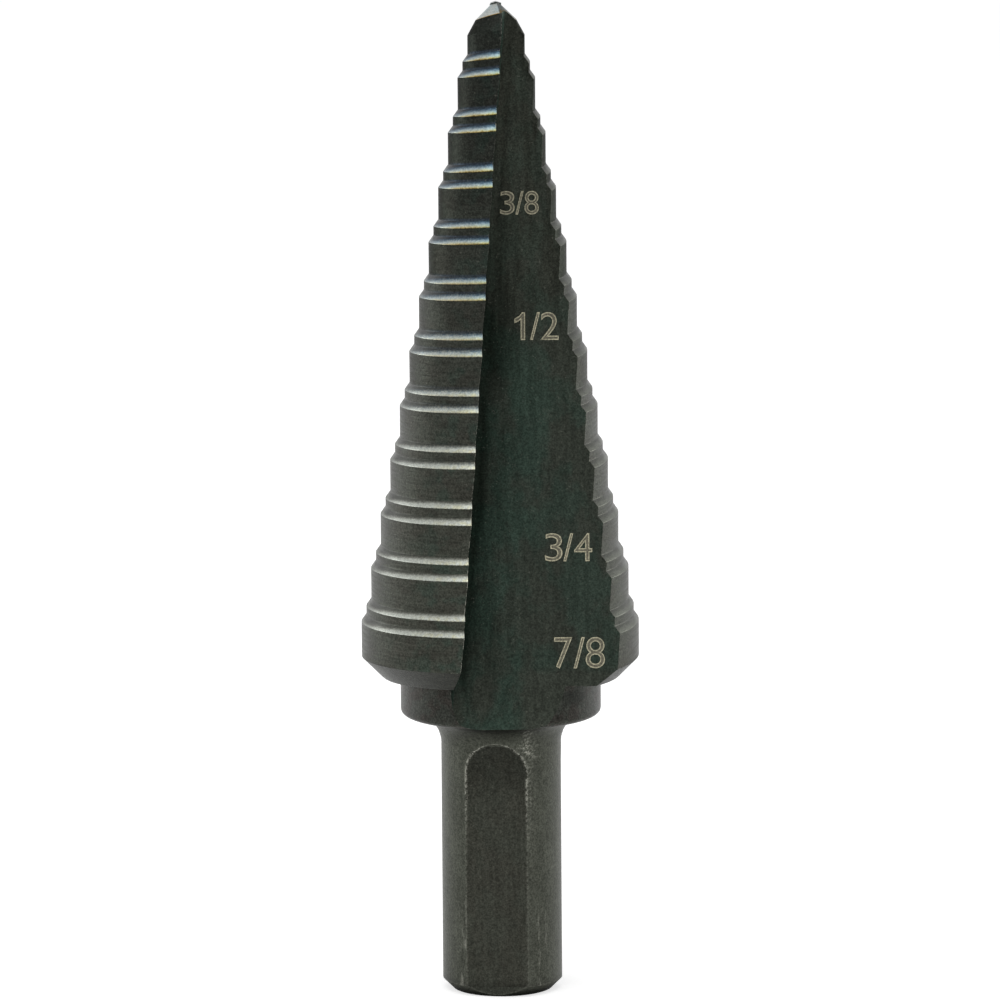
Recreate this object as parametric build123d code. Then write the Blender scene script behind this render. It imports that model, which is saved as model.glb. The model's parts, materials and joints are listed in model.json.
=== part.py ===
"""Step drill for sheet metal: twelve sizes in sixteenths of an inch on a three-flat shank.

The bit is one bar of high-speed steel.  It stands on the end of its shank, which is centred
on the origin, and its point looks up along +Z.  The first of its two flutes opens towards -Y,
and everything on the second side is the first side turned by half a turn.
"""
import os
from math import cos, radians, tan

from build123d import *

os.makedirs("parts", exist_ok=True)

INCH = 25.4

# Steps: one diameter rise per long land, with a short land half way between two of them.
step_count = 12
smallest_diameter = 3 / 16 * INCH
diameter_rise = 1 / 16 * INCH
step_pitch = 4.31
chamfer_height = 0.56
short_land_length = 0.69
pilot_land_length = 1.5
largest_land_length = 2.79

# Relief: behind its cutting edge each ring sinks along a screw line and leans inwards.
relief_pitch = 2.15
relief_offset = 0.1
relief_turn = 22.5

# Point: a taper, a cone ground over each lip, and the nib that the web leaves between them.
tip_height = 78.75
pilot_taper_angle = 28.6
point_angle = 110.0
point_relief_angle = 11.3
point_relief_turn = -120.0
point_rise = 0.13
nib_diameter = 0.86
nib_edge_angle = 16.0

# Flutes: straight channels that lean with the cone and run out on the collar.
web_gauge_height = 75.3
web_half_thickness = 0.45
flute_root_offset = 0.07
flute_face_angle = 11.3
flute_taper_angle = 6.42
flute_skew_angle = 4.7
flute_corner_radius = 1.0
flute_depth = 8.0
flute_wheel_radius = 12.0
flute_end_height = 27.0
seam_turn = 32.0
seam_overlap = 6.0

# Collar and shank, with their turned edges.
collar_diameter = 5 / 8 * INCH
collar_height = 3.2
collar_edge_radius = 0.45
back_chamfer = 1.63
back_rise = 0.4
shank_diameter = 3 / 8 * INCH
shank_length = 22.2
shank_end_chamfer = 0.8
neck_radius = 2.3

# Flats for the three jaws of a chuck, each ending in the round ramp of its cutter.
flat_count = 3
flat_distance = 4.1
flat_length = 18.2
flat_cutter_radius = 4.0
flat_turn = -5.8

overlap = 3.0
FRONT = -90.0
shoulder_z = shank_length + collar_height
back_z = shoulder_z + back_rise
chamfer_width = diameter_rise / 4
largest_radius = (smallest_diameter + (step_count - 1) * diameter_rise) / 2
largest_corner_z = back_z + back_chamfer + largest_land_length
outside = 2 * largest_radius


def land_section():
    """Half section of the cone, from the back of its largest land up past the point."""
    inner_radius = nib_diameter / 4
    outer = [
        (inner_radius, back_z),
        (largest_radius - back_chamfer, back_z),
        (largest_radius, back_z + back_chamfer),
    ]
    for step in range(step_count - 1):
        radius = largest_radius - step * diameter_rise / 2
        short_radius = radius - chamfer_width
        corner_z = largest_corner_z + step * step_pitch
        short_base_z = corner_z + chamfer_height
        short_top_z = short_base_z + short_land_length
        outer += [
            (radius, corner_z),
            (short_radius, short_base_z),
            (short_radius, short_top_z),
            (short_radius - chamfer_width, short_top_z + chamfer_height),
        ]
    pilot_radius, pilot_base_z = outer[-1]
    pilot_top_z = pilot_base_z + pilot_land_length
    taper_height = (pilot_radius - inner_radius) / tan(radians(pilot_taper_angle))
    outer += [(pilot_radius, pilot_top_z), (inner_radius, pilot_top_z + taper_height)]
    return make_face(Plane.XZ * Polyline(*outer, close=True))


def point_cone():
    """The cone ground over the lands of one lip: its axis leans back, which clears the lip."""
    height = tip_height
    cone = Cone(height * tan(radians(point_angle / 2)), 0, height)
    apex = Pos(0, 0, tip_height + point_rise)
    lean = Rot(0, 0, FRONT + point_relief_turn) * Rot(0, point_relief_angle, 0)
    return apex * lean * Pos(0, 0, -height / 2) * cone


def relieved_half():
    """The lands of one cutting edge: the section carried back along a shallow screw line."""
    arc = 180 + seam_overlap
    screw_line = Helix(pitch=relief_pitch, height=relief_pitch * arc / 360, radius=largest_radius)
    inset = relief_offset * cos(radians(relief_turn))
    half = sweep(Pos(-inset, 0, 0) * land_section(), path=screw_line, is_frenet=True)
    sink = relief_pitch * (arc - seam_turn) / 360
    turned = Rot(0, 0, FRONT + seam_turn - arc) * half
    offset = Rot(0, 0, FRONT + relief_turn) * Pos(relief_offset, 0, 0)
    return (Pos(offset.position.X, offset.position.Y, -sink) * turned) & point_cone()


def turned_base():
    """Collar, neck and shank, with the plug that reaches up into the cone."""
    shank_radius = shank_diameter / 2
    collar_radius = collar_diameter / 2
    outline = Polyline(
        (0, 0),
        (shank_radius - shank_end_chamfer, 0),
        (shank_radius, shank_end_chamfer),
        (shank_radius, shank_length),
        (collar_radius, shank_length),
        (collar_radius, back_z + back_chamfer / 2),
        (0, back_z + back_chamfer / 2),
        close=True,
    )
    section = make_face(Plane.XZ * outline)
    at_neck = section.vertices().filter_by_position(Axis.Z, shank_length, shank_length)
    section = fillet(at_neck.sort_by(Axis.X)[0], neck_radius)
    at_rim = section.vertices().filter_by_position(Axis.Z, shank_length, shank_length)
    section = fillet(at_rim.sort_by(Axis.X)[-1], collar_edge_radius)
    return revolve(section, axis=Axis.Z)


def flute_cutter():
    """Floor, corner and cutting face drawn along the flute, then round the wheel's end."""
    face_run = flute_depth * tan(radians(flute_face_angle))
    outline = Polyline(
        (0, 0), (outside, 0), (outside, -flute_depth), (face_run, -flute_depth), close=True
    )
    section = make_face(outline)
    section = fillet(section.vertices().sort_by_distance((0, 0))[0], flute_corner_radius)
    channel = extrude(section, amount=tip_height - flute_end_height + overlap)
    wheel_axis = Axis((0, -flute_wheel_radius, 0), (-1, 0, 0))
    runout = revolve(section, axis=wheel_axis, revolution_arc=60)
    depth = web_gauge_height - flute_end_height
    root_x = -flute_root_offset - depth * tan(radians(flute_skew_angle))
    root_y = -web_half_thickness - depth * tan(radians(flute_taper_angle))
    place = Location((root_x, root_y, flute_end_height), (-flute_taper_angle, flute_skew_angle, 0))
    return place * (channel + runout)


def core():
    """The axis of the bit, which fills the web and stands above the cones as a nib."""
    return Pos(0, 0, shoulder_z) * extrude(Circle(nib_diameter / 2), tip_height - shoulder_z)


def chiselled(body):
    """The body below the chisel edge, where two shallow slopes meet across the nib."""
    for side in (0, 180):
        slope = Pos(0, 0, tip_height) * Rot(0, 0, side) * Rot(0, nib_edge_angle, 0)
        body = split(body, bisect_by=Plane(slope), keep=Keep.BOTTOM)
    return body


def flat_cutter():
    """One flat of the shank, with its ramp, cut from the side that looks along +X."""
    ramp_top = flat_distance + flat_cutter_radius
    line = Polyline(
        (ramp_top, flat_length + flat_cutter_radius), (ramp_top, -overlap), (flat_distance, -overlap)
    )
    side = Line((flat_distance, -overlap), (flat_distance, flat_length))
    ramp = TangentArc(
        (flat_distance, flat_length), (ramp_top, flat_length + flat_cutter_radius), tangent=(0, 1)
    )
    section = make_face(Plane.XZ * (line + side + ramp))
    return extrude(section, amount=shank_diameter / 2, both=True)


def step_drill():
    """The whole bit, as one solid."""
    half = relieved_half()
    cone = half + Rot(0, 0, 180) * half
    body = split(cone, bisect_by=Plane.XY.offset(shoulder_z), keep=Keep.TOP) + turned_base()
    cutter = flute_cutter()
    for side in (0, 180):
        body -= Rot(0, 0, side) * cutter
    body = chiselled(body + core())
    for flat in range(flat_count):
        body -= Rot(0, 0, FRONT + flat_turn + flat * 360 / flat_count) * flat_cutter()
    return body


bit = step_drill()
export_step(bit, "parts/step_drill.step")
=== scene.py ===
"""A step drill in black oxide steel: its finishes, its size numbers and a plain studio."""

import json
import math

import bmesh
import bpy
from bpy.props import FloatProperty, FloatVectorProperty, PointerProperty
from mathutils import Matrix, Vector

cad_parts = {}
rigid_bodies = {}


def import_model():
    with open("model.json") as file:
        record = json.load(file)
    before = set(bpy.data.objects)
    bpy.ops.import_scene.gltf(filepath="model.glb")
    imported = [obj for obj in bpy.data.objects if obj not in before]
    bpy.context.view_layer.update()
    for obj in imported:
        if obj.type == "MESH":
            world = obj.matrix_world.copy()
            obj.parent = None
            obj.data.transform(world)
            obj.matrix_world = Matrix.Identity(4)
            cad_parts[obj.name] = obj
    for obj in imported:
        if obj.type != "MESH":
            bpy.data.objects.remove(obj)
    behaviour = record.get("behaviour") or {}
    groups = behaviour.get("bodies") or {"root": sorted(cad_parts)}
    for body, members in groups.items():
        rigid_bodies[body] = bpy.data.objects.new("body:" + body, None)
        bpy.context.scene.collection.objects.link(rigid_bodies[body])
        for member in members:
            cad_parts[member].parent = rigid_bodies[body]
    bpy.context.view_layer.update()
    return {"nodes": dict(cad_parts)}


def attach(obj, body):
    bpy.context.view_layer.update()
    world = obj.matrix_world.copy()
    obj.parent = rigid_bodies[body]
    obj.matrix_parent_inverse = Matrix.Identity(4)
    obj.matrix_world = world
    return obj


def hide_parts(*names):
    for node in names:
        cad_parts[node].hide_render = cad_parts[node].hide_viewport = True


for leftover in list(bpy.data.objects):
    bpy.data.objects.remove(leftover)

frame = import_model()

bl_info = {
    "name": "Step Drill",
    "version": (1, 0, 0),
    "blender": (4, 5, 0),
    "location": "View3D > Sidebar > Step Drill",
    "description": "Finishes a step drill, marks its sizes and sets a plain studio around it",
    "category": "Object",
}

MM = 0.001
BODY = "root"
NODE = "step_drill"

# ---------------------------------------------------------------- the solid's layout

# The stepped rings, in millimetres and degrees. Behind its lip a ring sinks by RELIEF_SINK a turn.
STEP_PITCH = 4.31
CHAMFER_HEIGHT = 0.56
SHORT_LAND = 0.69
RADIUS_RISE = 0.79375
LARGEST_RADIUS = 11.1125
LARGEST_CORNER = 30.22
RELIEF_SINK = 2.15
RELIEF_START = -148.0
FULL_TURN = 360.0
HALF_TURN = 180.0

# Heights up the drill at which one form ends and the next starts.
END_TOP = 0.81
FLAT_FOOT = 0.85
SHANK_TOP = 22.2
COLLAR_TOP = 26.1
BACK_TOP = 28.0
MIDDLE_LANDS = 49.0
HIGH_LANDS = 57.5
PILOT_TOP = 75.9

# The collar, the shank's skin, and the flats with the reach of their ramps.
COLLAR_RADIUS = 7.9375
COLLAR_EDGE = 0.12
SHANK_SKIN = 4.74
FLAT_DISTANCE = 4.1
FLAT_TURNS = (-95.8, 24.2, 144.2)
RAMP_REACH = 0.6

# The floor and the root of the front flute: where they start at FLOOR_TOP and how far they lean.
FLOOR_TOP = 75.3
FLOOR_START = 0.45
FLOOR_LEAN = 0.1125
FLOOR_SLOPE = math.hypot(1, FLOOR_LEAN)
ROOT_START = 0.07
ROOT_LEAN = 0.0822

# The turn of the cutting lip and the reach of the flutes' rims: at the foot, and for each
# millimetre up. Degrees behind a lip are counted from LIP_MARGIN ahead of it, and degrees round
# a side from SIDE_START.
LIP_AT_FOOT = -28.6
LIP_LEAN = 0.4545
LIP_MARGIN = 3.0
RIM_AT_FOOT = 16.6
RIM_LEAN = 0.184
SIDE_START = 12.0

# How a face must lie to belong to a form: cosines of its normal, and millimetres.
LEANING = 0.3
FLAT_LEANING = 0.05
POINT_LEANING = 0.55
SQUARE = 0.7
LAND_OUTWARD = 0.9
COLLAR_OUTWARD = 0.97
LAND_SLACK = 0.25
CLOSE = 0.02

ZONES = (
    "low_land",
    "middle_land",
    "high_land",
    "step_chamfer",
    "flute_floor",
    "cutting_face",
    "point",
    "back_chamfer",
    "collar",
    "shank",
    "shank_flat",
    "shank_end",
)
FLUTE_ZONES = ("flute_floor", "cutting_face")

# ---------------------------------------------------------------- the size numbers

# Each size number: its text, its left side, its foot and its height, in millimetres.
SIZE_NUMBERS = (
    ("3/8", 0.206, 62.19, 1.84),
    ("1/2", 1.27, 52.43, 2.17),
    ("3/4", 3.536, 35.16, 2.20),
    ("7/8", 4.204, 26.79, 2.45),
)
# How wide each figure is and the room left after it, as shares of the figures' height.
FIGURE_WIDTHS = {
    "1": (0.39, 0.17),
    "2": (0.65, 0.02),
    "3": (0.63, 0.02),
    "4": (0.65, 0),
    "7": (0.59, 0.03),
    "8": (0.62, 0),
    "/": (0.37, 0.02),
}
# A figure one, with the flag that the plain font leaves off.
ONE = (
    (0.25, 0),
    (0.39, 0),
    (0.39, 1),
    (0.3, 1),
    (0.2, 0.88),
    (0, 0.77),
    (0, 0.64),
    (0.14, 0.7),
    (0.25, 0.79),
)
# How much thinner the font is drawn, how far a figure is pressed flat, and how far it stands off.
FONT_THINNED = -0.008
FIGURE_PRESSED = 0.3
FIGURE_STAND_OFF = 0.004

# ---------------------------------------------------------------- the colours


def shade(red, green, blue):
    """A display colour from 0 to 255 as the linear colour that a shader takes."""
    parts = [c / 255 for c in (red, green, blue)]
    return tuple(c / 12.92 if c <= 0.04045 else ((c + 0.055) / 1.055) ** 2.4 for c in parts)


def grey(share):
    """A number as a grey. A colour stays as it is."""
    return share if isinstance(share, tuple) else (share, share, share)


def scaled(colour, share):
    """A plain colour multiplied by a number or by another plain colour."""
    return tuple(c * s for c, s in zip(colour, grey(share)))


DUST = shade(150, 150, 138)
WORN = shade(150, 150, 140)
GLINT = shade(205, 200, 180)
STRAW = shade(168, 134, 60)
HEATED_CORNER = shade(48, 56, 66)

# The chamfer's colours from its lower edge, 0, to its upper corner, 1, with a painted highlight
# below and painted shade in the corner. The heated one adds the straw and blue of grinding heat.
HEATED_CHAMFER_SHADED = (
    (0.0, shade(84, 70, 34)),
    (0.08, shade(136, 118, 68)),
    (0.17, shade(176, 166, 128)),
    (0.32, shade(162, 170, 160)),
    (0.48, shade(142, 153, 158)),
    (0.64, shade(98, 113, 122)),
    (0.82, shade(58, 72, 84)),
    (1.0, shade(40, 44, 48)),
)
GREY_CHAMFER_SHADED = (
    (0.0, shade(112, 114, 106)),
    (0.08, shade(172, 176, 168)),
    (0.3, shade(166, 170, 163)),
    (0.55, shade(150, 153, 146)),
    (0.7, shade(112, 114, 107)),
    (0.86, shade(78, 79, 73)),
    (1.0, shade(58, 60, 54)),
)

# What a base colour is multiplied by, red, green and blue, in a cloud or a patch.
LAND_BROWN = (0.88, 0.82, 0.83)
LAND_TEAL = (0.72, 1.06, 1.02)
CHAMFER_COOL = (0.5, 0.6, 0.64)
CHAMFER_STRAW = (1.08, 0.98, 0.66)
FLUTE_BROWN = (1.19, 0.83, 0.86)
FLUTE_SMOKE = (0.94, 0.89, 0.88)
# The next is painted shade beside the flute's root.
FLUTE_ROOT_SHADE = (0.26, 0.3, 0.28)
# The next is painted light on the cutting face where it runs out on the collar.
RUNOUT_PAINTED_LIGHT = (1.25, 0.9, 1.0)
POINT_COOL = (0.84, 0.92, 0.98)
COLLAR_BROWN = (0.92, 0.76, 0.78)
FLAT_BROWN = (0.94, 0.88, 0.88)

# How bright steel turns where it is seen at a slant.
EDGE_COLOUR = 0.92
# The lands' values fall towards the point as painted shade on the slanting edges of the higher
# lands.
LAND_EDGE_COLOURS = {"low_land": 0.8, "middle_land": 0.66, "high_land": 0.48}
# Less at the shank's end, as painted shade where it turns under.
END_EDGE_COLOUR = 0.5

# ---------------------------------------------------------------- where the looks change

# Spans over which a look sets in, as heights up the drill in millimetres.
LANDS_DARKEN = (30.0, 84.0)
LAND_WEAR_FADES = (24.0, 60.0)
HEEL_PALES = (44.0, 54.0)
HEATED = (40.0, 64.0)
RINGS_END = (75.4, 75.6)
CHAMFER_COOLS = (42.0, 60.0)
CHAMFER_LIGHTENS = (36.0, 52.0)
CHAMFER_HEEL_DIMS = (44.0, 56.0)
FLUTE_BROWNS = (46.0, 62.0)
FLUTE_DIMS = (46.0, 58.0)
FLUTE_SMOKES = (44.0, 60.0)
FLUTE_OPENS = (52.0, 72.0)
RUNOUT = (25.6, 27.4)
ROOT_RUNOUT = (24.0, 25.4)
RUNOUT_OPENS = (23.4, 27.0)
FACE_RUNOUT = (22.5, 23.2)
POINT_EDGE = (78.1, 78.4)
COLLAR_RIM_HIGHLIGHT = (22.45, 22.75)
NECK_SHADOW = (20.2, 21.4)
ARCH_SHADE = (15.5, 18.5)
ARCH_TOP = (20.6, 21.4)
FLAT_RUBBED = (12.0, 17.5)
BAND_STRENGTHENS = (8.0, 19.0)
STREAKS_END = (5.5, 9.0)
SHANK_FOOT_SHADE = (0.8, 1.5)
FLAT_FOOT_SHADE = (0.5, 1.5)
END_SHADE_SPAN = (0.15, 0.75)
NUMBERS_DIM = (50.0, 60.0)

# The same, as degrees behind the cutting lip.
LIP_WEAR = (3.0, 9.0)
LIP_CHIPS = (3.0, 8.0)
LIP_BLOOM = (8.0, 48.0)
LIP_COOLS = (2.0, 34.0)
LIP_STRAW = (6.0, 34.0)
POINT_HEEL = (84.0, 94.0)
LAND_HEEL = (88.0, 98.0)
TRAILING_EDGE_HIGHLIGHT = (95.0, 101.0)

# The same, as degrees round from the front of a side.
CORNER_HEAT_FADES = (50.0, 96.0)
# The next two spans set in the chamfer's painted shade further round from the front.
CHAMFER_SIDE_SHADE = (40.0, 90.0)
CHAMFER_DIMS = (44.0, 84.0)
CHAMFER_HEEL = (84.0, 104.0)

# Blobs to a millimetre in the dust, and lines to a millimetre on the lands and on the chamfers.
DUST_GRAIN = 6.5
LAND_LINES = 5.0
CHAMFER_LINES = 3.0

# ---------------------------------------------------------------- the studio's layout

# Each lamp: its name, its place, the side of its square, in metres, and its power in watts.
LAMPS = (
    ("left_lamp", (-0.42, 0.2, 0.06), 0.34, 1.15),
    ("right_lamp", (0.42, 0.22, 0.05), 0.3, 0.9),
    ("top_lamp", (-0.05, -0.14, 0.56), 0.36, 0.8),
)
LAMP_TARGET = (0, 0, 0.04)
CAMERA_AIM = (0.00005, 0, 0.03925)
SENSOR_WIDTH = 36
CLIP_START = 0.01
FLOOR_HALF = 3.0
WHITE = (1, 1, 1)
PAPER = (0.82, 0.82, 0.82)
FLOOR_GLOW = 0.62
SKY_LIGHT = 0.45


# ---------------------------------------------------------------- shader graphs


class Wire:
    """One output socket. Arithmetic on it adds Math nodes."""

    def __init__(self, graph, socket):
        self.graph = graph
        self.socket = socket

    def _math(self, operation, *values):
        """The result of one Math node on these values."""
        return self.graph.math(operation, *values)

    def __add__(self, other):
        return self._math("ADD", self, other)

    __radd__ = __add__

    def __sub__(self, other):
        return self._math("SUBTRACT", self, other)

    def __rsub__(self, other):
        return self._math("SUBTRACT", other, self)

    def __mul__(self, other):
        return self._math("MULTIPLY", self, other)

    __rmul__ = __mul__

    def __truediv__(self, other):
        return self._math("DIVIDE", self, other)

    def above(self, low, high):
        """0 below low, 1 above high and a smooth rise between them."""
        return self.graph.node(
            "ShaderNodeMapRange",
            {"interpolation_type": "SMOOTHSTEP"},
            {0: self, 1: low, 2: high, 3: 0.0, 4: 1.0},
        )

    def below(self, low, high):
        """1 below low, 0 above high and a smooth fall between them."""
        return 1 - self.above(low, high)

    def swing(self, width):
        """A value between 0 and 1 as a swing about 0, width from end to end."""
        return (self - 0.5) * width

    def size(self):
        """The value without its sign."""
        return self._math("ABSOLUTE", self)

    def larger(self, other):
        """The larger of two values."""
        return self._math("MAXIMUM", self, other)

    def clipped(self):
        """Held between 0 and 1."""
        return self._math("MINIMUM", self.larger(0.0), 1.0)


class Graph:
    """The node tree of one material or world."""

    def __init__(self, owner):
        self.owner = owner
        owner.use_nodes = True
        self.tree = owner.node_tree
        self.tree.nodes.clear()

    def node(self, kind, settings=None, sockets=None, output=0):
        """Adds a node of this kind, sets it, fills its sockets and returns one output as a Wire."""
        made = self.tree.nodes.new(kind)
        for name, value in (settings or {}).items():
            if name == "stops":
                ramp = made.color_ramp
                while len(ramp.elements) < len(value):
                    ramp.elements.new(0.5)
                for element, (place, colour) in zip(ramp.elements, value):
                    element.position = place
                    element.color = (*colour, 1.0)
            else:
                setattr(made, name, value)
        for name, value in (sockets or {}).items():
            if isinstance(value, Wire):
                self.tree.links.new(value.socket, made.inputs[name])
            else:
                held = made.inputs[name]
                if held.type == "RGBA" and len(value) == 3:
                    value = (*value, 1.0)
                held.default_value = value
        return Wire(self, made.outputs[output]) if made.outputs else None

    def math(self, operation, *values):
        """One Math node that no operator stands for."""
        return self.node("ShaderNodeMath", {"operation": operation}, dict(enumerate(values)))

    def vector(self, operation, first, second, output=0):
        """One Vector Math node."""
        settings = {"operation": operation}
        return self.node("ShaderNodeVectorMath", settings, {0: first, 1: second}, output)

    # Colours.

    def mix(self, factor, first, second, blend="MIX"):
        """Two colours mixed."""
        return self.node(
            "ShaderNodeMix",
            {"data_type": "RGBA", "blend_type": blend},
            {0: factor, 6: first, 7: second},
            2,
        )

    def tint(self, colour, share):
        """A colour multiplied by a number or by a plain colour."""
        if not isinstance(colour, Wire):
            return scaled(colour, share)
        return self.mix(1.0, colour, grey(share), "MULTIPLY")

    def shift(self, factor, colour, share):
        """A colour, tinted by share where factor is 1."""
        return self.mix(factor, colour, self.tint(colour, share))

    def vary(self, factor, colour, low, high):
        """A colour, tinted by low where factor is 0 and by high where it is 1."""
        return self.mix(factor, self.tint(colour, low), self.tint(colour, high))

    def ramp(self, place, stops):
        """A colour read off these stops."""
        return self.node("ShaderNodeValToRGB", {"stops": stops}, {0: place})

    # Places.

    def part(self, vector, index):
        """The x, y or z of a vector."""
        return self.node("ShaderNodeSeparateXYZ", None, {0: vector}, index)

    def at(self):
        """Where a point is, in metres."""
        return self.node("ShaderNodeTexCoord", None, None, "Object")

    def axis(self, index):
        """A point's x, y or z, in millimetres."""
        return self.part(self.at(), index) / MM

    def height(self):
        """How far up the drill a point is, in millimetres."""
        return self.axis(2)

    def place(self, scale, turn=(0, 0, 0)):
        """Object coordinates in millimetres, stretched by scale."""
        scale = [s / MM for s in scale]
        sockets = {"Vector": self.at(), "Scale": scale, "Rotation": turn}
        return self.node("ShaderNodeMapping", None, sockets)

    def near(self, where, centre, low, high):
        """1 nearer to the centre than low, 0 beyond high."""
        return self.vector("DISTANCE", where, centre, "Value").below(low, high)

    def lie(self):
        """How a point lies on its ring or in its flute, from the drill's own attribute."""
        return self.node("ShaderNodeAttribute", {"attribute_name": "lie"}, None, "Vector")

    def from_root(self):
        """How far a point of a flute is from the root, across the floor, in millimetres."""
        return self.part(self.lie(), 0)

    def ring_turn(self):
        """How far round its ring a point is, in degrees."""
        return self.part(self.lie(), 0)

    def ring_height(self):
        """How far up a point is with the relief taken off, in millimetres."""
        return self.part(self.lie(), 1)

    def chamfer_share(self):
        """How far up its chamfer a point is: 0 at the lower edge and 1 in the corner."""
        return self.part(self.lie(), 2)

    def behind_lip(self):
        """How far behind its cutting lip a point of a ring is, in degrees."""
        lip = self.height() * LIP_LEAN + LIP_AT_FOOT
        round_to = FULL_TURN + LIP_MARGIN + lip - self.ring_turn()
        return self.math("MODULO", round_to, HALF_TURN) - LIP_MARGIN

    def round_side(self):
        """How far round from the front of its side a point of a ring is, in degrees."""
        return self.math("MODULO", FULL_TURN + SIDE_START - self.ring_turn(), HALF_TURN)

    # Patterns.

    def noise(self, where, detail, rough):
        """Plain noise about 0.5, one blob to each unit of where."""
        sockets = {"Vector": where, "Scale": 1.0, "Detail": detail, "Roughness": rough}
        return self.node("ShaderNodeTexNoise", None, sockets, "Fac")

    def grain(self, scale, low=0.36, high=0.64, detail=2.0, turn=(0, 0, 0)):
        """Noise between 0 and 1 with full contrast, scale blobs to a millimetre."""
        scale = scale if isinstance(scale, tuple) else (scale, scale, scale)
        return self.noise(self.place(scale, turn), detail, 0.6).above(low, high)

    def ring_lines(self, per_mm, round_scale=0.05):
        """Fine lines that run round a ring with its relief, between 0 and 1."""
        stretched = self.vector("MULTIPLY", self.lie(), (round_scale, per_mm, 0.0))
        return self.noise(stretched, 2.0, 0.5).above(0.32, 0.68)

    def worn_edge(self, width, low=0.01, high=0.12):
        """1 on a sharp edge and 0 beside it. The second value is the rounded normal."""
        rounded = self.node("ShaderNodeBevel", {"samples": 8}, {"Radius": width * MM})
        true = self.node("ShaderNodeNewGeometry", None, None, "Normal")
        along = self.vector("DOT_PRODUCT", rounded, true, "Value")
        return (1.0 - along).above(low, high), rounded

    # Surfaces.

    def bump(self, height, depth, normal=None):
        """A normal pushed about by height, depth in millimetres."""
        sockets = {"Height": height, "Strength": 1.0, "Distance": depth * MM}
        if normal is not None:
            sockets["Normal"] = normal
        return self.node("ShaderNodeBump", None, sockets)

    def finish(self, shader):
        """Puts the shader on the material's surface."""
        self.node("ShaderNodeOutputMaterial", None, {"Surface": shader})

    def metal(self, colour, rough, normal, metallic=1.0, edge_colour=EDGE_COLOUR):
        """A metal surface. edge_colour is how bright it turns where it is seen at a slant."""
        sockets = {
            "Base Color": colour,
            "Roughness": rough,
            "Metallic": metallic,
            "Normal": normal,
            "Specular Tint": (edge_colour, edge_colour, edge_colour),
        }
        self.finish(self.node("ShaderNodeBsdfPrincipled", None, sockets))

    def dusty_metal(self, colour, rough, normal=None, edge_colour=EDGE_COLOUR):
        """A metal surface that fine dust makes duller, brighter and uneven."""
        dust = self.grain(DUST_GRAIN)
        normal = self.bump(dust, 0.004, normal)
        self.metal(colour, rough + dust.swing(0.1), normal, edge_colour=edge_colour)


def new_graph(name):
    """The graph of a new material."""
    return Graph(bpy.data.materials.new(name))


# ---------------------------------------------------------------- the finishes


def speckled(g, colour, spread):
    """A colour made uneven by fine grain and coarser grit, with a few pale specks of dust."""
    grain = g.grain(7.5) * 0.7 + g.grain(3.2) * 0.3
    colour = g.vary(grain, colour, 1 - spread, 1 + spread)
    return g.mix(g.grain(5.0, 0.64, 0.72) * 0.1, colour, DUST)


def oxide(name, base, shade_by, rough, spread, edge=None, edge_wear=0.0, edge_colour=EDGE_COLOUR):
    """Black oxide steel. shade_by takes the graph and the base colour and returns the colour with
    its own clouds and marks. Its edges are rounded by edge millimetres and worn by edge_wear."""
    g = new_graph(name)
    colour = speckled(g, shade_by(g, base), spread)
    normal = None
    if edge:
        worn, normal = g.worn_edge(edge, 0.008, 0.07)
        chips = (worn * g.grain(4.5, 0.5, 0.64)).clipped()
        colour = g.mix(chips * edge_wear, colour, WORN)
    g.dusty_metal(colour, rough, normal, edge_colour)
    return g.owner


def corner_heat(g):
    """Where grinding has heated a land: just above its chamfers, near the point."""
    ringed = g.ring_height()
    up = g.math("MODULO", ringed - LARGEST_CORNER, STEP_PITCH)
    first_top = CHAMFER_HEIGHT
    second_foot = CHAMFER_HEIGHT + SHORT_LAND
    second_top = second_foot + CHAMFER_HEIGHT
    first = up.below(first_top, first_top + 0.2)
    second = up.above(second_foot + 0.01, second_foot + 0.11)
    second = second * up.below(second_top, second_top + 0.24)
    heat = (first + second).clipped() * ringed.below(*RINGS_END)
    return heat * g.height().above(*HEATED) * g.round_side().below(*CORNER_HEAT_FADES)


def land_shades(g, low, high):
    """Brown clouds, a teal bloom beside the lip, turned lines that run round with the relief, and
    the blue of heat in the corners near the point."""
    clouds = g.grain((0.35, 0.35, 0.5), 0.42, 0.62, 4.0)
    bloom = g.grain((0.5, 0.5, 0.6), 0.48, 0.64) * g.behind_lip().below(*LIP_BLOOM)
    colour = g.mix(g.height().above(*LANDS_DARKEN), low, high)
    colour = g.shift(clouds * 0.8, colour, LAND_BROWN)
    colour = g.shift(bloom * 0.6, colour, LAND_TEAL)
    colour = g.vary(g.ring_lines(LAND_LINES), colour, 0.84, 1.16)
    return g.mix(corner_heat(g) * 0.8, colour, HEATED_CORNER)


def land_oxide(name, low, high, edge_colour):
    """Black oxide over the turned lands, darker towards the point and paler at the heel."""
    g = new_graph(name)
    up, behind = g.height(), g.behind_lip()
    lines, dust = g.ring_lines(LAND_LINES), g.grain(DUST_GRAIN)
    heel = behind.above(*LAND_HEEL) * (0.4 + up.above(*HEEL_PALES) * 0.6)
    colour = g.shift(heel, land_shades(g, low, high), 1.45)
    worn, rounded = g.worn_edge(0.1, 0.01, 0.1)
    chips = (worn * g.grain(3.4, 0.44, 0.6)).clipped()
    lip_wear = behind.below(*LIP_WEAR) * (0.85 - up.above(*LAND_WEAR_FADES) * 0.6)
    # Along the trailing edge the worn chips are also a painted highlight.
    wear = lip_wear + behind.above(*TRAILING_EDGE_HIGHLIGHT) * 0.5
    colour = g.mix(chips * wear, speckled(g, colour, 0.38), WORN)
    normal = g.bump(lines * 0.8 + dust * 0.6, 0.006, rounded)
    g.metal(colour, 0.4 + lines.swing(0.12), normal, edge_colour=edge_colour)
    return g.owner


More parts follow.
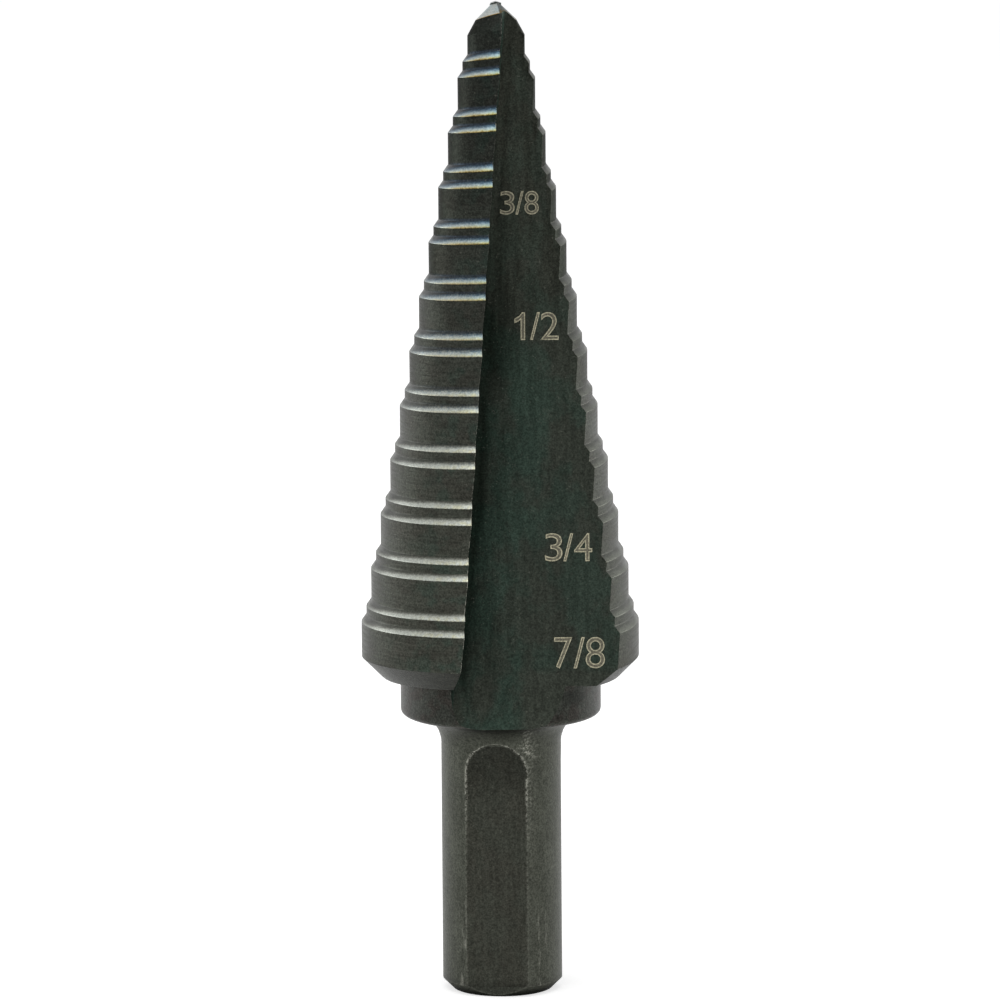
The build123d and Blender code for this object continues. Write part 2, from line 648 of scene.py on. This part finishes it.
def ground_chamfer(name, land):
    """The cutting chamfer, ground through the oxide, with a painted highlight along its lower edge
    and painted shade in its upper corner. Near the point the heat of grinding leaves blue above and
    straw below."""
    g = new_graph(name)
    up, raised = g.height(), g.chamfer_share()
    behind, side = g.behind_lip(), g.round_side()
    streak, dust = g.ring_lines(CHAMFER_LINES, 0.09), g.grain(DUST_GRAIN)

    # Painted shade further round from the front: the dark of the upper corner spreads down the
    # chamfer and the whole chamfer dims, less so near the point.
    side_shade = side.above(*CHAMFER_SIDE_SHADE) * 0.44
    across = (raised + side_shade + streak.swing(0.05) + dust.swing(0.08)).clipped()
    heated = (up + dust.swing(8)).above(*HEATED)
    # The ramps paint a highlight along the chamfer's lower edge and shade in its upper corner.
    colour = g.mix(heated, g.ramp(across, GREY_CHAMFER_SHADED), g.ramp(across, HEATED_CHAMFER_SHADED))
    cool = behind.below(*LIP_COOLS) * up.above(*CHAMFER_COOLS)
    colour = g.shift(cool, colour, CHAMFER_COOL)
    straw = g.grain(2.2, 0.42, 0.58) * behind.below(*LIP_STRAW) * raised.below(0.35, 0.6)
    colour = g.shift(straw * 0.5, colour, CHAMFER_STRAW)
    dim = side.above(*CHAMFER_DIMS) * (1 - up.above(*CHAMFER_LIGHTENS) * 0.6)
    colour = g.shift(dim, colour, 0.62)

    # Beyond the heel the chamfer keeps the land's oxide, with a painted highlight along its lower
    # edge, and it is darker higher up.
    heel = g.mix(raised.above(0.1, 0.9), scaled(land, 2.0), scaled(land, 0.95))
    heel = g.shift(up.above(*CHAMFER_HEEL_DIMS), heel, 0.78)
    colour = g.mix(side.above(*CHAMFER_HEEL), colour, heel)

    worn, rounded = g.worn_edge(0.08)
    # Along the trailing edge the chips are also a painted highlight.
    wear = behind.below(*LIP_CHIPS) + behind.above(*TRAILING_EDGE_HIGHLIGHT) * 0.6
    chips = (worn * g.grain(4.0, 0.46, 0.6) * wear).clipped()
    colour = g.mix(chips * 0.7, speckled(g, colour, 0.22), GLINT)
    normal = g.bump(streak * 0.6 + dust * 0.5, 0.004, rounded)
    g.metal(colour, 0.36 + streak.swing(0.12), normal)
    return g.owner


def flute_shades(g, base):
    """Brown clouds, painted shade in the corner beside the root, streaks along the flute, and blots
    by the rim. On the collar the flute runs out brown and paler, with one brown patch in it."""
    up, out = g.height(), g.from_root()
    runout = out.above(5.0, 7.2) * up.below(*RUNOUT)
    root_runout = out.below(0.3, 1.8) * up.below(*ROOT_RUNOUT)
    squeezed = g.vector("MULTIPLY", g.lie(), (1.0, 0.7, 0.0))
    patch = g.near(squeezed, (2.75, 17.2, 0.0), 0.5, 1.5)
    clouds = g.grain((0.3, 0.3, 0.22), 0.44, 0.62, 4.0) * 0.8
    brown = clouds + up.above(*FLUTE_BROWNS) * 0.75 + out.above(4.0, 9.0) * 0.35
    brown = brown + runout + root_runout + patch
    colour = g.shift(brown.clipped() * 0.85, base, FLUTE_BROWN)
    colour = g.shift(up.above(*FLUTE_DIMS), colour, 0.84)

    ripple = g.grain((0.8, 0.8, 0.1))
    # Painted shade beside the root, where the cutting face hides the floor. It narrows near the
    # point and on the collar.
    clear = out + ripple.swing(1.2) + up.above(*FLUTE_OPENS) * 3.0 + up.below(*RUNOUT_OPENS) * 2.6
    colour = g.shift(clear.below(0.0, 4.6), colour, FLUTE_ROOT_SHADE)
    colour = g.shift(runout, colour, 1.16)
    streaks = g.grain((2.2, 2.2, 0.14), 0.36, 0.64, 3.0)
    colour = g.vary(streaks, colour, 0.88, 1.12)
    smoke = g.vary(g.grain((0.8, 0.8, 0.07), 0.4, 0.6, 3.0), colour, 1.14, FLUTE_SMOKE)
    colour = g.mix(up.above(*FLUTE_SMOKES), colour, smoke)

    to_rim = RIM_AT_FOOT - RIM_LEAN * up - g.axis(0).size()
    blots = to_rim.below(0.3, 2.0) * g.grain(0.9, 0.5, 0.6)
    return g.shift(blots * 0.7, colour, 0.45)


def cutting_face_shades(g, base):
    """Nearly as dark as the floor along the flute, and paler at the foot, where it runs out:
    painted light there evens the face's dark reflection with the collar.
    """
    colour = g.vary(g.grain((1.5, 1.5, 0.3)), base, 0.72, 0.95)
    # Painted light at the foot, which takes away the face's dark reflection on the collar.
    return g.mix(g.height().above(*FACE_RUNOUT), g.tint(base, RUNOUT_PAINTED_LIGHT), colour)


def point_shades(g, base):
    """Ground steel, cooler in clouds, with fine lines, straw along its lower edge, dark behind."""
    colour = g.shift(g.grain(1.2, 0.4, 0.6), base, POINT_COOL)
    colour = g.vary(g.grain((2, 2, 7)), colour, 0.9, 1.08)
    edge = g.worn_edge(0.2, 0.0006, 0.006)[0]
    colour = g.mix(edge * g.height().below(*POINT_EDGE), colour, STRAW)
    return g.shift(g.behind_lip().above(*POINT_HEEL), colour, 0.3)


def back_shades(g, base):
    """Fine turned lines."""
    return g.vary(g.grain((0.5, 0.5, 5.0)), base, 0.9, 1.1)


def collar_shades(g, base):
    """Brown clouds, stains, a painted shadow under the largest ring at the right of the front
    flute, and a painted highlight along the rim below.
    """
    clouds = g.grain((0.7, 0.7, 0.8), 0.42, 0.6, 4.0)
    stains = g.grain(1.1, 0.58, 0.68)
    # A painted shadow under the largest ring, at the right of the front flute.
    dark = g.near(g.place((0.7, 0.7, 1.2)), (4.1, -3.7, 29.3), 0.3, 1.2)
    colour = g.shift(clouds * 0.8, base, COLLAR_BROWN)
    colour = g.shift(stains * 0.5, colour, 0.5)
    colour = g.shift(dark * 0.8, colour, 0.5)
    # A painted highlight along the collar's lower rim.
    return g.shift(g.height().below(*COLLAR_RIM_HIGHLIGHT), colour, 1.5)


def shank_shades(g, base):
    """Rubbed clouds, a painted shadow of the collar across the front of the neck, and painted shade
    at the foot. Beside the first flat are scratches by its arch, a scuffed band along its right
    edge, and streaks low down."""
    up, across = g.height(), g.axis(0)
    front = g.axis(1).below(-3.0, -2.0)
    sides = across.size().above(1.6, 4.2)
    clouds = g.grain((0.6, 0.6, 0.3), 0.4, 0.6, 4.0)
    colour = g.vary(clouds, base, 0.9, 1.08)
    # Painted shadow of the collar on the neck, weaker at the sides.
    colour = g.shift(up.above(*NECK_SHADOW) * (1 - sides * 0.75), colour, 0.62)
    # Painted shade at the foot, where the shank turns under.
    colour = g.shift(up.below(*SHANK_FOOT_SHADE), colour, 0.7)

    fine = g.grain(4.5, 0.42, 0.62)
    by_arch = g.near(g.place((0.42, 0.42, 1.0)), (0.56, -1.9, 19.8), 0.1, 1.25)
    scratches = g.grain((0.9, 0.9, 6.0), 0.5, 0.62, 4.0, (0, math.radians(8), 0))
    band = across.above(1.5, 1.9) * across.below(2.1, 2.9) * front
    band = band * (0.2 + up.above(*BAND_STRENGTHENS) * 0.8)
    low = sides.above(0.3, 0.5) * sides.below(0.65, 0.95) * up.below(*STREAKS_END) * front
    streaks = g.grain((3.0, 3.0, 0.6), 0.5, 0.66, 3.0)
    wear = by_arch * scratches * fine * 0.6 + band * fine * 0.22 + low * streaks * 0.3
    return g.mix(wear.clipped(), colour, WORN)


def flat_shades(g, base):
    """Brown clouds and milled lines along the flat, with painted shade under its arch and at its
    foot.
    """
    up = g.height()
    clouds = g.grain((0.6, 0.6, 0.4), 0.4, 0.6, 4.0)
    colour = g.shift(clouds * 0.6, base, FLAT_BROWN)
    # Painted shade under the arch and at the foot.
    colour = g.shift(up.above(*ARCH_SHADE), colour, 0.68)
    colour = g.shift(up.below(*FLAT_FOOT_SHADE), colour, 0.6)
    return g.vary(g.grain((4, 4, 0.4)), colour, 0.9, 1.1)


def end_shades(g, base):
    """Painted shade: nearly black where the end of the shank turns under, lighter towards its top.
    """
    return g.vary(g.height().above(*END_SHADE_SPAN), base, 0.5, 2.4)


def shank_oxide(name, base, shade_by):
    """Black oxide on the shank, rubbed bright along the upper edges of its flats."""
    g = new_graph(name)
    up = g.height()
    worn = g.worn_edge(0.3, 0.001, 0.016)[0]
    rub = (worn * g.grain(5.2, 0.38, 0.6)).clipped()
    rub = rub * (0.14 + up.above(*FLAT_RUBBED) * 0.72) * up.below(*ARCH_TOP)
    g.dusty_metal(g.mix(rub, speckled(g, shade_by(g, base), 0.36), WORN), 0.44)
    return g.owner


def size_mark(name, colour, rough):
    """The pale metal that a size number is marked in, dimmer near the point."""
    g = new_graph(name)
    hatch = g.grain(7.0, 0.35, 0.65, 2.0, (0, math.radians(40), 0))
    colour = g.vary(hatch, colour, 0.6, 1.14)
    colour = g.shift(g.height().above(*NUMBERS_DIM), colour, 0.7)
    g.metal(colour, rough, g.bump(hatch, 0.004), 0.3)
    return g.owner


# ---------------------------------------------------------------- the drill


def turn_of(x, y):
    """How far round from the front a point is, in degrees."""
    return math.degrees(math.atan2(x, -y))


def ring_place(x, y, z, middle_turn):
    """The turn in degrees and the flattened height of a point on the rings, in millimetres.
    middle_turn is the turn of the point's face, so that no face is torn at the seam."""
    turn = turn_of(x, y)
    while turn - middle_turn > HALF_TURN:
        turn -= FULL_TURN
    while turn - middle_turn < -HALF_TURN:
        turn += FULL_TURN
    start = RELIEF_START + HALF_TURN * math.floor((middle_turn - RELIEF_START) / HALF_TURN)
    return turn, z - RELIEF_SINK * (turn - start + RELIEF_START) / FULL_TURN


def ring_radius(height):
    """The radius of the stepped rings at a flattened height."""
    if height < LARGEST_CORNER:
        return LARGEST_RADIUS
    step, up = divmod(height - LARGEST_CORNER, STEP_PITCH)
    second_foot = CHAMFER_HEIGHT + SHORT_LAND
    first = min(up / CHAMFER_HEIGHT, 1)
    second = min(max((up - second_foot) / CHAMFER_HEIGHT, 0), 1)
    return LARGEST_RADIUS - RADIUS_RISE * (step + (first + second) / 2)


def on_flat(x, y, z, normal):
    """Whether a face of the shank belongs to one of its flats or to the ramp above it."""
    if math.hypot(x, y) >= SHANK_SKIN or z <= FLAT_FOOT:
        return False
    for turn in FLAT_TURNS:
        angle = math.radians(turn)
        distance = x * math.cos(angle) + y * math.sin(angle)
        facing = normal.x * math.cos(angle) + normal.y * math.sin(angle)
        level = abs(distance - FLAT_DISTANCE) < CLOSE
        if distance < FLAT_DISTANCE + RAMP_REACH and facing > LEANING:
            if level or abs(normal.z) > FLAT_LEANING:
                return True
    return False


def zone_of(middle, normal):
    """The finish that a face of the drill has."""
    x, y, z = middle / MM
    radius = math.hypot(x, y)
    outward = (normal.x * x + normal.y * y) / max(radius, 1e-6)
    if z < END_TOP and normal.z < -LEANING:
        return "shank_end"
    if z < SHANK_TOP - CLOSE / 2:
        return "shank_flat" if on_flat(x, y, z, normal) else "shank"
    if z < COLLAR_TOP and radius < COLLAR_RADIUS + CLOSE:
        on_side = outward > COLLAR_OUTWARD and radius > COLLAR_RADIUS - COLLAR_EDGE
        if on_side or normal.z < -LEANING:
            return "collar"
    if normal.z < -LEANING and z < BACK_TOP:
        return "back_chamfer"
    _, height = ring_place(x, y, z, turn_of(x, y))
    on_ring = abs(radius - ring_radius(height)) < LAND_SLACK
    if outward > LAND_OUTWARD and abs(normal.z) < LEANING and on_ring:
        if z < MIDDLE_LANDS:
            return "low_land"
        return "middle_land" if z < HIGH_LANDS else "high_land"
    if height > PILOT_TOP and normal.z > LEANING:
        return "point" if normal.z > POINT_LEANING else "high_land"
    if outward > SQUARE and LEANING < normal.z < SQUARE and z > LARGEST_CORNER - 1:
        return "step_chamfer"
    return "cutting_face" if abs(normal.x) > SQUARE else "flute_floor"


def flute_lie(x, y, z):
    """How far a point of a flute lies from its root across the floor, and along the bit."""
    side = 1 if y < 0 else -1
    return side * x + ROOT_START + ROOT_LEAN * (FLOOR_TOP - z), z, 0.0


def chamfer_foot(height):
    """The flattened height of the lower edge of the chamfer nearest below, or just above."""
    up = (height - LARGEST_CORNER) % STEP_PITCH
    on_second = up > CHAMFER_HEIGHT + SHORT_LAND / 2
    return height - up + (CHAMFER_HEIGHT + SHORT_LAND if on_second else 0)


def ring_lie(x, y, z, middle_turn, foot):
    """A ring point's turn, its flattened height and how far up the chamfer at foot it is."""
    turn, height = ring_place(x, y, z, middle_turn)
    return turn, height, min(max((height - foot) / CHAMFER_HEIGHT, 0), 1)


def drill_mesh(finishes):
    """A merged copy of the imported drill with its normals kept, a finish for each face, and how
    each corner lies on its ring or in its flute."""
    source = frame["nodes"][NODE].data
    held = source.copy()
    held.name = "drill_body"
    held.materials.clear()
    for zone in ZONES:
        held.materials.append(finishes[zone])
    kept = held.attributes.new("kept_normal", "FLOAT_VECTOR", "CORNER")
    kept.data.foreach_set("vector", [c for n in source.corner_normals for c in n.vector])
    form = bmesh.new()
    form.from_mesh(held)
    bmesh.ops.remove_doubles(form, verts=form.verts, dist=0.002 * MM)
    lie = form.loops.layers.float_vector.new("lie")
    for face in form.faces:
        middle = face.calc_center_median()
        zone = zone_of(middle, face.normal)
        face.material_index = ZONES.index(zone)
        face.smooth = True
        x, y, z = middle / MM
        turn = turn_of(x, y)
        foot = chamfer_foot(ring_place(x, y, z, turn)[1])
        for corner in face.loops:
            place = corner.vert.co / MM
            in_flute = zone in FLUTE_ZONES
            corner[lie] = flute_lie(*place) if in_flute else ring_lie(*place, turn, foot)
    form.to_mesh(held)
    form.free()
    normals = [tuple(v.vector) for v in held.attributes["kept_normal"].data]
    held.attributes.remove(held.attributes["kept_normal"])
    held.normals_split_custom_set(normals)
    return held


class STEPDRILL_PG_body(bpy.types.PropertyGroup):
    """The colours of the drill's finishes."""

    land: FloatVectorProperty(
        name="Land",
        description="Black oxide on the largest lands",
        subtype="COLOR",
        default=shade(57, 59, 53),
    )
    land_at_point: FloatVectorProperty(
        name="Land at Point",
        description="Black oxide on the smallest lands",
        subtype="COLOR",
        default=shade(35, 38, 35),
    )
    flute: FloatVectorProperty(
        name="Flute",
        description="Black oxide in the flutes",
        subtype="COLOR",
        default=shade(45, 57, 50),
    )
    collar: FloatVectorProperty(
        name="Collar",
        description="Black oxide on the collar",
        subtype="COLOR",
        default=shade(49, 51, 47),
    )
    shank: FloatVectorProperty(
        name="Shank",
        description="Black oxide on the shank",
        subtype="COLOR",
        default=shade(65, 67, 60),
    )
    point: FloatVectorProperty(
        name="Point",
        description="Steel ground bright at the point",
        subtype="COLOR",
        default=shade(168, 172, 168),
    )


class STEPDRILL_PG_numbers(bpy.types.PropertyGroup):
    """The size numbers in the flute."""

    colour: FloatVectorProperty(
        name="Colour",
        description="Metal shown by the marking",
        subtype="COLOR",
        default=shade(196, 190, 162),
    )
    line: FloatProperty(
        name="Line",
        description="Width of an outline",
        default=0.1 * MM,
        min=0.01 * MM,
        unit="LENGTH",
        precision=5,
    )


class STEPDRILL_OT_body(bpy.types.Operator):
    """Finish the drill's body"""

    bl_idname = "stepdrill.body"
    bl_label = "Drill Body"

    def execute(self, context):
        made = context.scene.step_drill_body
        finishes = {
            zone: land_oxide(f"{zone}_oxide", made.land, made.land_at_point, edge_colour)
            for zone, edge_colour in LAND_EDGE_COLOURS.items()
        }
        finishes["step_chamfer"] = ground_chamfer("ground_chamfer", made.land)
        finishes["flute_floor"] = oxide(
            "flute_oxide",
            made.flute,
            flute_shades,
            rough=0.45,
            spread=0.36,
            edge=0.05,
            edge_wear=0.3,
        )
        finishes["cutting_face"] = oxide(
            "cutting_face_oxide",
            made.flute,
            cutting_face_shades,
            rough=0.45,
            spread=0.4,
            edge=0.05,
            edge_wear=0.2,
        )
        finishes["point"] = oxide("ground_point", made.point, point_shades, rough=0.3, spread=0.08)
        finishes["back_chamfer"] = oxide(
            "back_chamfer_oxide",
            scaled(made.land, 0.62),
            back_shades,
            rough=0.42,
            spread=0.36,
            edge=0.06,
            edge_wear=0.4,
        )
        finishes["collar"] = oxide(
            "collar_oxide",
            made.collar,
            collar_shades,
            rough=0.42,
            spread=0.42,
            edge=0.05,
            edge_wear=0.35,
        )
        finishes["shank"] = shank_oxide("shank_oxide", made.shank, shank_shades)
        finishes["shank_flat"] = shank_oxide(
            "shank_flat_oxide", scaled(made.shank, 0.72), flat_shades
        )
        # The end's darker base is painted shade.
        finishes["shank_end"] = oxide(
            "shank_end_oxide",
            scaled(made.shank, 0.42),
            end_shades,
            rough=0.5,
            spread=0.36,
            edge_colour=END_EDGE_COLOUR,
        )
        mesh = drill_mesh(finishes)
        body = bpy.data.objects.new("drill_body", mesh)
        context.scene.collection.objects.link(body)
        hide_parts(NODE)
        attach(body, BODY)
        return {"FINISHED"}


def figure_curve(figure):
    """The outline of one figure as a filled flat curve."""
    if figure != "1":
        curve = bpy.data.curves.new("figure", "FONT")
        curve.body = figure
        curve.offset = FONT_THINNED
        return curve
    curve = bpy.data.curves.new("figure", "CURVE")
    curve.dimensions = "2D"
    curve.fill_mode = "BOTH"
    spline = curve.splines.new("POLY")
    spline.points.add(len(ONE) - 1)
    for point, (x, y) in zip(spline.points, ONE):
        point.co = (x, y, 0, 1)
    spline.use_cyclic_u = True
    return curve


def evaluated_mesh(shape):
    """A curve object as a mesh."""
    bpy.context.view_layer.update()
    depsgraph = bpy.context.evaluated_depsgraph_get()
    return bpy.data.meshes.new_from_object(shape.evaluated_get(depsgraph))


def figure_meshes(figure, line, height):
    """One figure as a flat mesh, and its outline as a cord line wide once it is height high."""
    curve = figure_curve(figure)
    shape = bpy.data.objects.new("figure", curve)
    bpy.context.scene.collection.objects.link(shape)
    fill = evaluated_mesh(shape)
    rise = [v.co.y for v in fill.vertices]
    curve.fill_mode = "NONE"
    curve.bevel_depth = line / 2 * (max(rise) - min(rise)) / height
    curve.bevel_resolution = 1
    outline = evaluated_mesh(shape)
    bpy.data.objects.remove(shape)
    bpy.data.curves.remove(curve)
    return fill, outline


class STEPDRILL_OT_numbers(bpy.types.Operator):
    """Mark the size numbers on the floor of the front flute"""

    bl_idname = "stepdrill.numbers"
    bl_label = "Size Numbers"

    @staticmethod
    def add_part(form, part, finish, place, width, height):
        """Adds a figure's mesh to the form, stretched to width and height and pressed flat."""
        first, first_face = len(form.verts), len(form.faces)
        form.from_mesh(part)
        bpy.data.meshes.remove(part)
        form.verts.ensure_lookup_table()
        form.faces.ensure_lookup_table()
        new = form.verts[first:]
        for face in form.faces[first_face:]:
            face.material_index = finish
        low = Vector([min(v.co[i] for v in new) for i in range(3)])
        high = Vector([max(v.co[i] for v in new) for i in range(3)])
        middle = Vector(((low.x + high.x) / 2, (low.y + high.y) / 2, 0))
        share = (width / (high.x - low.x), height / (high.y - low.y), height * FIGURE_PRESSED, 1)
        stretch = Matrix.Diagonal(share)
        fit = place @ stretch @ Matrix.Translation(-middle)
        bmesh.ops.transform(form, matrix=fit, verts=new)

    @staticmethod
    def floor_place(up):
        """The matrix that lays a flat shape on the front flute's floor, up millimetres high."""
        depth = FLOOR_START + FLOOR_LEAN * (FLOOR_TOP - up)
        return Matrix((
            (1, 0, 0, 0),
            (0, FLOOR_LEAN / FLOOR_SLOPE, -1 / FLOOR_SLOPE, -depth * MM),
            (0, 1 / FLOOR_SLOPE, FLOOR_LEAN / FLOOR_SLOPE, up * MM),
            (0, 0, 0, 1),
        ))

    def execute(self, context):
        made = context.scene.step_drill_numbers
        form = bmesh.new()
        for text, left, foot, height in SIZE_NUMBERS:
            floor = self.floor_place(foot + height / 2)
            for figure in text:
                width, room = (share * height for share in FIGURE_WIDTHS[figure])
                middle = ((left + width / 2) * MM, 0, FIGURE_STAND_OFF * MM)
                place = floor @ Matrix.Translation(middle)
                size = (width * MM, height * FLOOR_SLOPE * MM)
                for finish, part in enumerate(figure_meshes(figure, made.line, height * MM)):
                    self.add_part(form, part, finish, place, *size)
                left += width + room
        mesh = bpy.data.meshes.new("size_numbers")
        form.to_mesh(mesh)
        form.free()
        mesh.materials.append(size_mark("number_fill", scaled(made.colour, 0.3), 0.5))
        mesh.materials.append(size_mark("number_outline", made.colour, 0.4))
        numbers = bpy.data.objects.new("size_numbers", mesh)
        context.scene.collection.objects.link(numbers)
        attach(numbers, BODY)
        return {"FINISHED"}


# ---------------------------------------------------------------- the studio


class STEPDRILL_PG_studio(bpy.types.PropertyGroup):
    """The studio's camera and lamps."""

    lens: FloatProperty(
        name="Lens", description="Focal length", default=273.5, min=1, unit="CAMERA"
    )
    distance: FloatProperty(
        name="Distance", description="Camera to drill", default=0.6, unit="LENGTH"
    )
    rise: FloatProperty(
        name="Rise",
        description="How far the camera looks down",
        default=math.radians(9.434),
        subtype="ANGLE",
    )
    roll: FloatProperty(
        name="Roll",
        description="How far the drill leans left",
        default=math.radians(0.42),
        subtype="ANGLE",
    )
    lamp_power: FloatProperty(
        name="Lamps",
        description="Strength of every lamp, as a share of its own power",
        default=1.0,
        min=0,
        soft_max=2,
        subtype="FACTOR",
    )


def add_lamp(name, place, size, power):
    """A square soft lamp at place that faces the drill."""
    lamp = bpy.data.lights.new(name, "AREA")
    lamp.shape = "SQUARE"
    lamp.size = size
    lamp.energy = power
    held = bpy.data.objects.new(name, lamp)
    held.location = place
    held.rotation_euler = (Vector(LAMP_TARGET) - Vector(place)).to_track_quat("-Z", "Y").to_euler()
    bpy.context.scene.collection.objects.link(held)


def seen_rays(g):
    """1 for the rays that see the background: from the camera, by reflection or through glass."""
    kinds = ("Is Camera Ray", "Is Glossy Ray", "Is Transmission Ray")
    camera, glossy, through = (g.node("ShaderNodeLightPath", None, None, kind) for kind in kinds)
    return camera.larger(glossy).larger(through)


def floor_mesh():
    """A wide sheet of white paper, lit for the eye alone."""
    form = bmesh.new()
    bmesh.ops.create_grid(form, x_segments=1, y_segments=1, size=FLOOR_HALF)
    mesh = bpy.data.meshes.new("studio_floor")
    form.to_mesh(mesh)
    form.free()
    g = new_graph("floor_paper")
    matt = g.node("ShaderNodeBsdfDiffuse", None, {"Color": PAPER})
    sockets = {"Color": WHITE, "Strength": seen_rays(g) * FLOOR_GLOW}
    glow = g.node("ShaderNodeEmission", None, sockets)
    g.finish(g.node("ShaderNodeAddShader", None, {0: matt, 1: glow}))
    mesh.materials.append(g.owner)
    return mesh


def studio_world():
    """A white world that lights the drill with less than it shows."""
    g = Graph(bpy.data.worlds.new("studio"))
    strength = SKY_LIGHT + seen_rays(g) * (1 - SKY_LIGHT)
    sky = g.node("ShaderNodeBackground", None, {"Color": WHITE, "Strength": strength})
    g.node("ShaderNodeOutputWorld", None, {"Surface": sky})
    return g.owner


def studio_camera(made):
    """The camera, made.distance from the drill and made.rise above it."""
    aim = Vector(CAMERA_AIM)
    back = Vector((0, -math.cos(made.rise), math.sin(made.rise))) * made.distance
    lens = bpy.data.cameras.new("camera")
    lens.lens = made.lens
    lens.sensor_width = SENSOR_WIDTH
    lens.clip_start = CLIP_START
    camera = bpy.data.objects.new("camera", lens)
    camera.matrix_world = (
        Matrix.Translation(aim + back)
        @ (-back).to_track_quat("-Z", "Y").to_matrix().to_4x4()
        @ Matrix.Rotation(-made.roll, 4, "Z")
    )
    return camera


class STEPDRILL_OT_studio(bpy.types.Operator):
    """Lay the floor and set the lamps, the world and the camera"""

    bl_idname = "stepdrill.studio"
    bl_label = "Studio"

    def execute(self, context):
        made = context.scene.step_drill_studio
        floor = bpy.data.objects.new("studio_floor", floor_mesh())
        context.scene.collection.objects.link(floor)
        context.scene.world = studio_world()
        for name, place, size, power in LAMPS:
            add_lamp(name, place, size, made.lamp_power * power)
        camera = studio_camera(made)
        context.scene.collection.objects.link(camera)
        context.scene.camera = camera
        context.scene.view_settings.view_transform = "Standard"
        return {"FINISHED"}


# ---------------------------------------------------------------- the add-on


class STEPDRILL_PT_panel(bpy.types.Panel):
    """The drill's pieces and their settings"""

    bl_idname = "STEPDRILL_PT_panel"
    bl_label = "Step Drill"
    bl_space_type = "VIEW_3D"
    bl_region_type = "UI"
    bl_category = "Step Drill"

    def draw(self, context):
        for group, operator in GROUPS:
            box = self.layout.box()
            held = getattr(context.scene, group)
            for name in held.bl_rna.properties.keys():
                if name not in ("rna_type", "name"):
                    box.prop(held, name)
            box.operator(operator)


GROUPS = (
    ("step_drill_body", "stepdrill.body"),
    ("step_drill_numbers", "stepdrill.numbers"),
    ("step_drill_studio", "stepdrill.studio"),
)
CLASSES = (
    STEPDRILL_PG_body,
    STEPDRILL_PG_numbers,
    STEPDRILL_PG_studio,
    STEPDRILL_OT_body,
    STEPDRILL_OT_numbers,
    STEPDRILL_OT_studio,
    STEPDRILL_PT_panel,
)


def register():
    """Registers the classes and gives the scene their settings."""
    for made in CLASSES:
        bpy.utils.register_class(made)
    bpy.types.Scene.step_drill_body = PointerProperty(type=STEPDRILL_PG_body)
    bpy.types.Scene.step_drill_numbers = PointerProperty(type=STEPDRILL_PG_numbers)
    bpy.types.Scene.step_drill_studio = PointerProperty(type=STEPDRILL_PG_studio)


def unregister():
    """Takes away what register added."""
    del bpy.types.Scene.step_drill_studio
    del bpy.types.Scene.step_drill_numbers
    del bpy.types.Scene.step_drill_body
    for made in reversed(CLASSES):
        bpy.utils.unregister_class(made)


def main():
    """Registers the add-on and makes each piece."""
    register()
    bpy.ops.stepdrill.body()
    bpy.ops.stepdrill.numbers()
    bpy.ops.stepdrill.studio()


if __name__ == "__main__":
    main()
